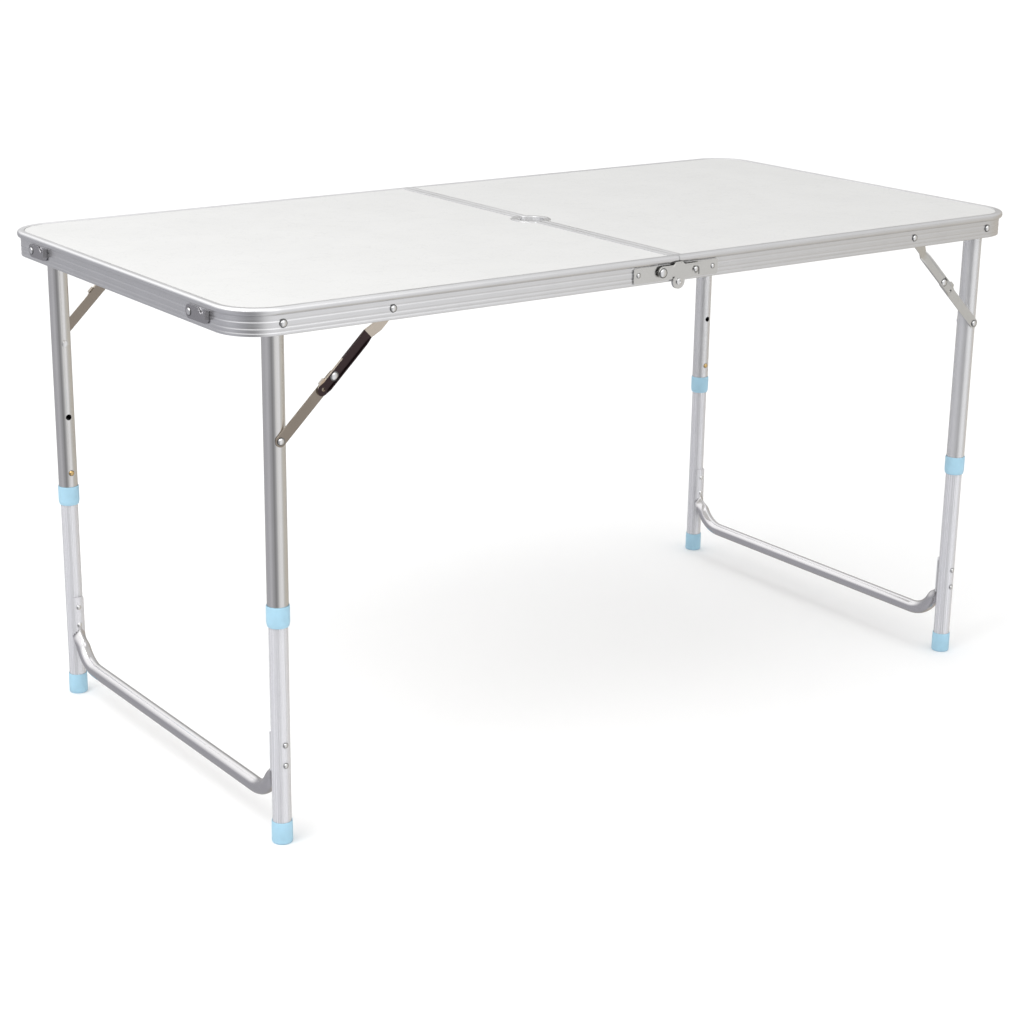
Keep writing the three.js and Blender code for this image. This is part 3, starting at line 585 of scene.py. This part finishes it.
def stretcher(end, side):
    """A U-shaped tube whose ends are pressed flat, curved to the legs and riveted to them."""
    x = side * LEG_X
    radius = 9.2
    bend = 46  # radius of the line the tube bends along
    low = 48  # height of its level middle
    wrap = 42  # degrees the pressed ends reach round the leg each way
    hug = LOWER + CLEAR  # inner radius of the pressed ends, about the leg's axis
    thick = 2.0
    reach = 15  # from the leg's axis to the tube's, where their sides merge
    swell = 18  # height over which the pressed end becomes round
    rivets = (98, 123)  # heights of the rivets through each pressed end
    plain, bright, dark, flat_end = range(4)

    def pressed(half, z):
        """A slice of the pressed end, which reaches half degrees round the leg each way."""
        points = []
        for far, turns in ((hug + thick, range(16)), (hug, range(15, -1, -1))):
            for k in turns:
                a = math.radians(half * (2 * k / 15 - 1))
                points.append((x + far * math.sin(a), far * math.cos(a) - LEG_Y, z))
        return points

    def slice_at(y, z, lean):
        """A slice of the tube where its line leans from straight down (0) to level (90)."""
        points = []
        for k in range(32):
            a = math.radians(180 - 11.25 * (k + 0.5))
            rise = radius * math.sin(a)
            px, py = radius * math.cos(a), y + math.cos(lean) * rise + LEG_Y
            pz = z + math.sin(lean) * rise
            away = math.hypot(px, py)
            if away < hug + 0.4:
                push = (hug + (0 if k > 15 else 0.4)) / away
                px, py = px * push, py * push
            points.append((x + px, py - LEG_Y, pz))
        return points

    ends = ((30, 137), (36, 136.4), (40, 135), (wrap, 133), (wrap, 95))
    slices = [pressed(half, z) for half, z in ends]
    looks = [[flat_end] * 32] * (len(slices) - 1)
    for k in range(1, 31):
        a = math.radians(3 * k)
        z = low + bend - bend * math.sin(a)
        round_slice = slice_at(-(LEG_Y - reach - bend) - bend * math.cos(a), z, a)
        section = []
        look = []
        for flat, full in zip(pressed(wrap, z), round_slice):
            # The tube swells out of the pressed end from its middle line
            t = min(max((low + bend - z - 1.1 * abs(flat[0] - x)) / swell, 0), 1)
            ease = t * t * (3 - 2 * t)
            section.append(tuple(b + (c - b) * ease for b, c in zip(flat, full)))
            look.append(plain if t > 0 else flat_end)
        slices.append(section)
        looks.append(look)
    mirrored = [[(px, -py, pz) for px, py, pz in section] for section in reversed(slices)]
    looks += [[plain] * 32] + looks[::-1]
    shape = Body().rings(slices + mirrored, [look for row in looks for look in row])
    for row in (-1, 1):
        for z in rivets:
            outer = LEG_Y + LOWER
            inner = LEG_Y - hug - thick
            rivet = [(0.01, inner - 1.4), (1.4, inner - 1.3), (2.5, inner - 0.6), (2.8, inner - 0.3),
                     (3.4, inner), (3.4, inner + 0.4), (2, inner + 0.5), (2, outer + CLEAR)]
            rivet += dome(3.4, outer + CLEAR, 1.6)
            headed(shape, rivet, (x, 0, z), (0, row, 0), 24, bright, dark)
    piece = build(f"stretcher_{end}_fine", shape, (BAR, BRIGHT, RIM_PAINTED_SHADE, PIPE), smooth=38)
    stand(piece, f"{end}_lower_frame", "tube_aluminium", f"stretcher_{end}")


def stay(end, side, edge, row):
    """The two links of a stay. u runs up along the stay, w out from the table, v across it."""
    word = f"{end}_{edge}"
    drop = RIVET_Z - STAY_Z
    reach = 138  # from the leg to the upper link's rivet in the edge rail
    span = math.hypot(drop, reach)
    lower = (span - (reach - drop)) / 2
    upper = span - lower
    rise = math.atan2(drop, reach)
    along = Vector((-side * math.cos(rise), 0, math.sin(rise)))
    across = Vector((side * math.sin(rise), 0, math.cos(rise)))
    base = Vector((side * LEG_X, 0, STAY_Z))
    knee = base + along * lower

    def at(origin, u, v, w):
        """The point (u, v) from an origin on the stay, at w from the middle of the table."""
        return tuple(origin + along * u + across * v + Vector((0, row * w, 0)))

    # Lower link: a flat bar with round ends, and the flush end of the knee's rivet
    line = arc(0, 0, LINK_HALF, 90, 270, 16) + arc(lower, 0, LINK_HALF, -90, 90, 16)
    rings = [[at(base, u, v, w) for u, v in line] for w in (LINK_Y, LINK_Y + SHEET)]
    shape = Body().rings(rings)
    shape.turned([(4.2, -0.2), (4.2, 1)], at(knee, 0, 0, LINK_Y), (0, row, 0), 24, 1)
    hole = Body().turned([(3.1, -20), (3.1, 20)], at(base, 0, 0, LINK_Y), (0, 1, 0), 24)
    steel = BROWNED if side < 0 else ZINC
    piece = build(f"lower_link_{word}_fine", shape, (steel, BRIGHT), bevel=0.15, cuts=[hole])
    stand(piece, f"{end}_lower_links", "plated_steel", f"lower_link_{word}")

    # Upper link: a shallow channel that flattens at both ends and steps out to the rail at the
    # top. Its stations are (u, half width).
    web = LINK_Y + SHEET + 0.4
    behind_rail = FACE_Y - WALL - CLEAR
    stations = [(-27, 0.4), (-26.6, 2.2), (-25.5, 4.0), (-23.8, 5.4), (-21.5, 6.4)]
    stations += [(u, LINK_HALF) for u in (-20, -17, -14, -8, 0, 20, 40, 52)]
    stations += [(upper + u, LINK_HALF) for u in (-38, -26, 0)]
    stations += [(upper + 2.2, 6.2), (upper + 4.2, 5.1), (upper + 5.7, 3.3)]
    stations += [(upper + 6.4, 1.6), (upper + 6.6, 0.4)]
    rings = []
    for u, half in stations:
        rise_up = min(max((u + 20) / 7, 0), 1) * min(max((upper - 38 - u) / 10, 0), 1)
        flange = 0.02 + 2.2 * rise_up * rise_up * (3 - 2 * rise_up)
        step = min(max((u - (upper - 38)) / 12, 0), 1)
        low = web + (behind_rail - SHEET - web) * step
        top = low + SHEET
        wall = max(half - SHEET, half * 0.5)
        section = [(-half, low), (half, low), (half, top + flange), (wall, top + flange),
                   (wall, top), (-wall, top), (-wall, top + flange), (-half, top + flange)]
        rings.append([at(knee, u, v, w) for v, w in section])
    shape = Body()
    plain, channel, bright, flange_painted_shade = range(4)
    for k in range(len(rings) - 1):
        # The left stays are dark inside the channel, and beyond the knee on its sides too: this dark
        # is painted shade, which the right stays don't get
        dark = channel if side < 0 and stations[k + 1][0] < upper - 36 else plain
        flank = channel if dark and stations[k][0] > 10 else plain
        look = [plain, flank, dark, dark, dark, dark, dark, flank]
        shape.rings([rings[k], rings[k + 1]], look, caps=False)
    shape.add(rings[0], [tuple(range(7, -1, -1))])
    shape.add(rings[-1], [tuple(range(8))])
    weld(shape)

    # A thumb tab beside the hole at the knee end, then the rivets of the knee and of the rail
    tab = [at(knee, u, v, w) for w in (web, web + SHEET)
           for u, v in ((-19.6, 5.4), (-9.4, 5.4), (-10.6, 10), (-18.4, 10))]
    shape.rings([tab[:4], tab[4:]], look=bright)
    head = [(0.01, web + 0.4), (5.4, web + 0.4)] + dome(5.6, web + SHEET, 2.0)
    headed(shape, head, at(knee, 0, 0, 0), (0, row, 0), 32, bright, flange_painted_shade)
    head = [(0.01, behind_rail - 0.5), (2.5, behind_rail - 0.5), (2.5, FACE_Y + CLEAR)]
    head += dome(4.5, FACE_Y + CLEAR, 1.9)
    headed(shape, head, at(knee, upper, 0, 0), (0, row, 0), 28, bright, flange_painted_shade)
    hole = Body().turned([(2.2, web - 2), (2.2, web + 2)], at(knee, -19, 0, 0), (0, row, 0), 20)
    steel = PALE if side < 0 else ZINC
    looks = (steel, CHANNEL_PAINTED_SHADE, BRIGHT, RIM_PAINTED_SHADE)
    piece = build(f"upper_link_{word}_fine", shape, looks, cuts=[hole])
    stand(piece, f"{end}_upper_links", "plated_steel", f"upper_link_{word}")


def weld(shape):
    """Joins points of a shape that lie in the same place."""
    known = {}
    swap = []
    points = []
    for p in shape.points:
        key = tuple(round(c, 4) for c in p)
        if key not in known:
            known[key] = len(points)
            points.append(p)
        swap.append(known[key])
    shape.points = points
    shape.faces = [tuple(swap[i] for i in face) for face in shape.faces]


# ---- hinges -------------------------------------------------------------------------------

def hinge(edge, row):
    """A hinge: two plates lapped on a pin, and the lock bar across them."""
    thick = 1.7
    bright, dark = 1, 2
    swivel = -26.6  # x of the pin the lock bar turns on
    catch = 24.4  # x of the pin it drops over

    def layer(index):
        """Where a layer of the stack starts, counted out from the rail's face."""
        return FACE_Y + CLEAR + index * (thick + CLEAR)

    def flat(outline, low, high, look=0):
        """A flat plate between two distances from the middle of the table."""
        return Body().prism(outline, row * low, row * high, facing_y, look)

    def rivet(shape, x, profile, sides=28):
        """A domed rivet or pin at x."""
        headed(shape, profile, (x, 0, RIVET_Z), (0, row, 0), sides, bright, dark)

    pivot = Body().turned([(2.8, 200), (2.8, 400)], (0, 0, RAIL_LOW), (0, row, 0), 24)
    low = RAIL_LOW + 3
    high = RAIL_LOW + 21.6
    outline = [(-66.5, low), (-9.5, low)] + arc(0, RAIL_LOW, 9, 162, 456, 40)
    outline += [(-1, high), (-66.5, high), (-68, high - 1.5), (-68, low + 1.5)]
    shape = flat(outline, layer(0), layer(0) + thick)
    neck = [(0.01, layer(0) + 1), (2.6, layer(0) + 1), (2.6, layer(3))]
    small = [(0.01, layer(0) + 1)] + dome(3.2, layer(0) + thick, 1.3)
    rivet(shape, swivel, neck + dome(6.1, layer(3), 1.5), 36)
    rivet(shape, -61, small)
    looks = (ZINC, BRIGHT, RIM_PAINTED_SHADE)
    piece = build(f"hinge_plate_left_{edge}_fine", shape, looks, bevel=0.3, cuts=[pivot])
    stand(piece, "left_leaf", "plated_steel", f"hinge_plate_left_{edge}")

    outline = [(12, low), (61, low), (62.5, low + 1.5), (62.5, high - 1.5), (61, high), (12, high)]
    shape = flat(outline, layer(0), layer(0) + thick)
    shape.add(*block(12, 20, row * layer(0), row * (layer(1) + thick), low, low + 12))
    arm = arc(0, RAIL_LOW, 9, 108, 379, 40) + [(20, low), (20, low + 12), (8, low + 9)]
    lug = flat(arm, layer(1), layer(1) + thick)
    shape.add(lug.points, lug.faces)
    rivet(shape, catch, neck + dome(3.9, layer(3), 1.5))
    rivet(shape, 54.5, small)
    piece = build(f"hinge_plate_right_{edge}_fine", shape, looks, bevel=0.3, cuts=[pivot])
    stand(piece, "right_leaf", "plated_steel", f"hinge_plate_right_{edge}")

    pin = [(0.01, layer(0)), (2.4, layer(0)), (2.4, layer(2)), (4.0, layer(2)), (4.2, layer(2) + 0.5),
           (4.0, layer(2) + 1.2), (3.2, layer(2) + 1.6), (1.6, layer(2) + 1.6), (1.1, layer(2) + 0.9)]
    shape = Body().turned(pin, (0, 0, RAIL_LOW), (0, row, 0), 28)
    piece = build(f"hinge_pin_{edge}_fine", shape, (BRIGHT,), smooth=40)
    stand(piece, "left_leaf", "bright_steel", f"hinge_pin_{edge}")

    def outline_of(spare, shift, notch):
        """The bar's outline: its upper edge raised by spare, its notch round the right pin."""
        half = 6
        top = RIVET_Z + half + spare
        line = arc(swivel, RIVET_Z + spare / 2, half + spare / 2, 90, 270, 18)
        line += [(catch + shift - notch, RIVET_Z - half)]
        line += arc(catch + shift, 611.2, notch, 180, 0, 14)
        line += [(catch + 5.7, 605), (catch + 9, 607), (catch + 10, RIVET_Z), (catch + 9.4, 615.6)]
        line += [(catch + 8, top), (8, top), (6.4, top + 1), (4.6, top + 3), (3.4, top + 3.5)]
        return line + [(-5.6, top + 3.5), (-7.2, top + 3), (-8.6, top + 1), (-10, top)]

    # The bar stands on a slightly larger near-black layer, painted shade that stands for the shadow
    # gap round it
    shape = flat(outline_of(1.8, 1.1, 4.5), layer(2), layer(2) + 0.8, 1)
    front = flat(outline_of(0, -0.3, 5.9), layer(2) + 0.4, layer(2) + thick)
    shape.add(front.points, front.faces)
    hole = Body().turned([(2.9, 200), (2.9, 400)], (swivel, 0, RIVET_Z), (0, row, 0), 24)
    piece = build(f"lock_bar_{edge}_fine", shape, (ZINC, SHADE), cuts=[hole])
    stand(piece, f"lock_bar_{edge}", "plated_steel", f"lock_bar_{edge}")


def block(x0, x1, ya, yb, z0, z1):
    """The points and faces of a straight-sided block, for stepped sheet metal."""
    points = [(x, y, z) for x in (x0, x1) for y in (ya, yb) for z in (z0, z1)]
    faces = [(0, 1, 3, 2), (4, 6, 7, 5), (0, 4, 5, 1), (2, 3, 7, 6), (0, 2, 6, 4), (1, 5, 7, 3)]
    return points, faces


# ---- ends ---------------------------------------------------------------------------------

def latch(edge, y):
    """A hooked latch on the left end. a runs along -Y from the pivot, out is away from the rail."""
    def at(a, z, out):
        """The point (a, z) from the pivot, at a distance out from the rail."""
        return (-FACE_X - CLEAR - out, y - a, RIVET_Z + z)

    line = arc(0, 0, 8, 90, 270, 18)
    line += [(34, -7.4), (40, -6.4), (44, -2), (44, 8), (31.6, 8)]
    line += arc(27.5, 5.4, 4, 10, -170, 10) + [(20, 8)]
    shape = Body().rings([[at(a, z, out) for a, z in line] for out in (0, 1.5)])
    lip = [(41, -1.6), (41, 8), (44, 8), (44, -1.6)]
    shape.rings([[at(a, z, out) for a, z in lip] for out in (1.0, 5.7)])
    head = [(0.01, -3), (2, -3), (2, 1)] + dome(5, 1.5, 1.9)
    headed(shape, head, (-FACE_X - CLEAR, y, RIVET_Z), (-1, 0, 0), 28, 1, 2)
    piece = build(f"latch_{edge}_fine", shape, (DULL, BRIGHT, RIM_PAINTED_SHADE), bevel=0.3)
    stand(piece, f"latch_{edge}", "plated_steel", f"latch_{edge}")

    stud = [(0.01, -WALL - 2), (2, -WALL - 2), (2, 0.3), (3.2, 0.3), (3.4, 1.2), (2, 1.3), (2, 2.6)]
    stud += dome(4.5, 2.6, 1.6)
    shape = Body().turned(stud, (FACE_X, y, RIVET_Z), (1, 0, 0), 28)
    piece = build(f"latch_stud_{edge}_fine", shape, (BRIGHT,), smooth=40)
    stand(piece, "right_leaf", "bright_steel", f"latch_stud_{edge}")


def handle():
    """A bowed grip with finger hollows, its flat ends held in two wedge-shaped caps.

    The grip's outer and inner lines are (distance from its middle, distance from the rail).
    """
    half_length = 83
    half_width = 6.5
    steps = 110
    over = flowing([(0, 15.9), (7, 15.9), (18, 15.1), (33, 12.6), (47, 9.2), (59, 5.2), (66, 2.5),
                    (83, 2.5)], 6)
    under = flowing([(0, 5.6), (4, 7.2), (9, 7.7), (14, 7.2), (19, 5.4), (24, 6.8), (29, 7.0),
                     (33, 6.2), (38, 4.2), (44, 1), (64, 0.5), (83, 0.5)], 6)

    def height(line, y):
        """How far a line stands off the rail at y."""
        for (ya, ha), (yb, hb) in zip(line, line[1:]):
            if ya <= y <= yb:
                return ha + (hb - ha) * (y - ya) / max(yb - ya, 1e-6)
        return line[-1][1]

    rings = []
    for k in range(steps + 1):
        y = -half_length + 2 * half_length * k / steps
        high = height(over, abs(y))
        low = height(under, abs(y))
        middle = (high + low) / 2
        tall = (high - low) / 2
        ring = []
        for i in range(24):
            a = 2 * math.pi * i / 24
            c = math.cos(a)
            s = math.sin(a)
            out = middle + tall * math.copysign(abs(c) ** 0.62, c)
            up = half_width * math.copysign(abs(s) ** 0.55, s)
            ring.append((FACE_X + out, y, RIVET_Z + up))
        rings.append(ring)
    piece = build("handle_grip_fine", Body().rings(rings), (GREY,), smooth=50)
    stand(piece, "handle", "grey_plastic", "handle_grip")

    for edge, row in ROWS:
        profile = [(0.3, 67), (7.0, 67), (7.6, 67.8), (7.6, 78), (7.2, 83), (4.9, 90), (2.9, 94.2),
                   (2.1, 95), (0.3, 95)]
        pocket = [(-1, 66), (6.2, 66), (5.9, 83.3), (-1, 83.3)]
        shape = Body().rings([[(FACE_X + o, row * y, z) for o, y in profile] for z in (603, 621)])
        cut = Body().rings([[(FACE_X + o, row * y, z) for o, y in pocket] for z in (605.2, 618.8)])
        piece = build(f"handle_cap_{edge}_fine", shape, (GREY,), bevel=0.7, segments=3, cuts=[cut])
        stand(piece, "right_leaf", "grey_plastic", f"handle_cap_{edge}")


# ---- whole table --------------------------------------------------------------------------

for end, side in ENDS:
    edge_rail(end, side)
    centre_rail(end, side)
    board(end, side)
    stretcher(end, side)
    for edge, row in ROWS:
        leg(end, side, edge, row)
        stay(end, side, edge, row)
for edge, row in ROWS:
    hinge(edge, row)
for edge, y in LATCHES:
    latch(edge, y)
handle()


# ---- floor, light and camera --------------------------------------------------------------

def sheet(name, half, material):
    """A level square at floor height, half its width in metres."""
    mesh = bpy.data.meshes.new(name)
    corners = [(-half, -half, 0), (half, -half, 0), (half, half, 0), (-half, half, 0)]
    mesh.from_pydata(corners, [], [(0, 1, 2, 3)])
    mesh.materials.append(material)
    made = bpy.data.objects.new(name, mesh)
    bpy.context.scene.collection.objects.link(made)
    return made


paper = Finish("studio_floor", (0.93, 0.93, 0.93), 0.0, 0.8)
paper.shader.inputs["Specular IOR Level"].default_value = 0.1
floor = sheet("studio_floor", 40, paper.material)
floor.visible_glossy = False

# The room: white overhead, and below that a soft backdrop that changes with the heading
world = bpy.data.worlds.new("studio")
bpy.context.scene.world = world
world.use_nodes = True
tree = world.node_tree
backdrop = tree.nodes["Background"]
direction = tree.nodes.new("ShaderNodeTexCoord").outputs["Generated"]
parts = tree.nodes.new("ShaderNodeSeparateXYZ")
tree.links.new(direction, parts.inputs["Vector"])


def calculate(operation, first, second):
    """One step of arithmetic on numbers or node outputs."""
    node = tree.nodes.new("ShaderNodeMath")
    node.operation = operation
    for socket, value in zip(node.inputs, (first, second)):
        if isinstance(value, (int, float)):
            socket.default_value = value
        else:
            tree.links.new(value, socket)
    return node.outputs[0]


def eased(value, low, high, new_low, new_high):
    """Maps the range from low to high smoothly onto the new range."""
    node = tree.nodes.new("ShaderNodeMapRange")
    node.interpolation_type = "SMOOTHSTEP"
    for socket, number in zip(node.inputs[1:5], (low, high, new_low, new_high)):
        socket.default_value = number
    tree.links.new(value, node.inputs["Value"])
    return node.outputs["Result"]


# Heading from straight in front of the table (-Y) at 0.5, turning towards +X as it rises
ahead_of_table = calculate("MULTIPLY", parts.outputs["Y"], -1.0)
turn = calculate("ARCTAN2", parts.outputs["X"], ahead_of_table)
heading = calculate("DIVIDE", calculate("ADD", turn, math.pi), 2 * math.pi)
chooser = tree.nodes.new("ShaderNodeValToRGB")
tree.links.new(heading, chooser.inputs["Fac"])
ramp = chooser.color_ramp
ramp.interpolation = "EASE"

# The backdrop's colours by heading, in degrees from the front of the table
ROOM = (
    (-180, (0.45, 0.45, 0.47)),
    (-130, (0.46, 0.46, 0.49)),
    (-95, (0.52, 0.52, 0.55)),
    (-62, (0.37, 0.37, 0.39)),
    (-42, (0.26, 0.26, 0.265)),
    (-24, (0.40, 0.40, 0.41)),
    (-8, (0.74, 0.74, 0.74)),
    (12, (0.86, 0.86, 0.87)),
    (32, (0.86, 0.86, 0.87)),
    (46, (0.64, 0.63, 0.61)),
    (64, (0.60, 0.57, 0.52)),
    (100, (0.58, 0.54, 0.48)),
    (145, (0.40, 0.39, 0.38)),
    (180, (0.45, 0.45, 0.47)),
)
while len(ramp.elements) < len(ROOM):
    ramp.elements.new(1.0)
for element, (degrees, colour) in zip(ramp.elements, ROOM):
    element.position = 0.5 + degrees / 360
    element.color = (*colour, 1)

# White takes over as the view rises, dimmer towards +X
overhead = eased(parts.outputs["Z"], 0.02, 0.56, 0.0, 1.0)
white = eased(parts.outputs["X"], 0.30, 0.62, 1.36, 0.72)
mix = tree.nodes.new("ShaderNodeMix")
mix.data_type = "RGBA"
tree.links.new(overhead, mix.inputs["Factor"])
tree.links.new(chooser.outputs["Color"], mix.inputs[6])
tree.links.new(white, mix.inputs[7])
tree.links.new(mix.outputs[2], backdrop.inputs["Color"])
backdrop.inputs["Strength"].default_value = 1.0


def lamp(name, place, aim, size, power):
    """A square area light, hidden from the camera, aimed at a point."""
    data = bpy.data.lights.new(name, "AREA")
    data.shape = "SQUARE"
    data.size = size
    data.energy = power
    made = bpy.data.objects.new(name, data)
    bpy.context.scene.collection.objects.link(made)
    made.location = place
    made.rotation_mode = "QUATERNION"
    made.rotation_quaternion = (Vector(aim) - Vector(place)).to_track_quat("-Z", "Y")
    made.visible_camera = False


lamp("key", (-1.5, -0.3, 1.9), (-0.2, 0, 0.6), 1.2, 13)
lamp("front_fill", (0.4, -3.4, 2.2), (0.1, 0, 0.4), 2.4, 6)

# The camera, matched to the photograph's view of the table by its edges and feet
EYE = Vector((FOLD_X - 1.6486, -2.2232, 1.1101))
TURN = math.radians(36.17)
DIP = math.radians(17.66)
ROLL = math.radians(0.84)
ahead = Vector((math.cos(DIP) * math.sin(TURN), math.cos(DIP) * math.cos(TURN), -math.sin(DIP)))
level = ahead.cross(Vector((0, 0, 1))).normalized()
above = level.cross(ahead)
right = level * math.cos(ROLL) + above * math.sin(ROLL)
upward = above * math.cos(ROLL) - level * math.sin(ROLL)
lens = bpy.data.cameras.new("camera")
lens.sensor_width = 36
lens.lens = 75.19
lens.clip_end = 200
camera = bpy.data.objects.new("camera", lens)
bpy.context.scene.collection.objects.link(camera)
turned = Matrix((right, upward, -ahead)).transposed()
camera.matrix_world = Matrix.Translation(EYE) @ turned.to_4x4()
bpy.context.scene.camera = camera
bpy.context.scene.view_settings.view_transform = "Standard"
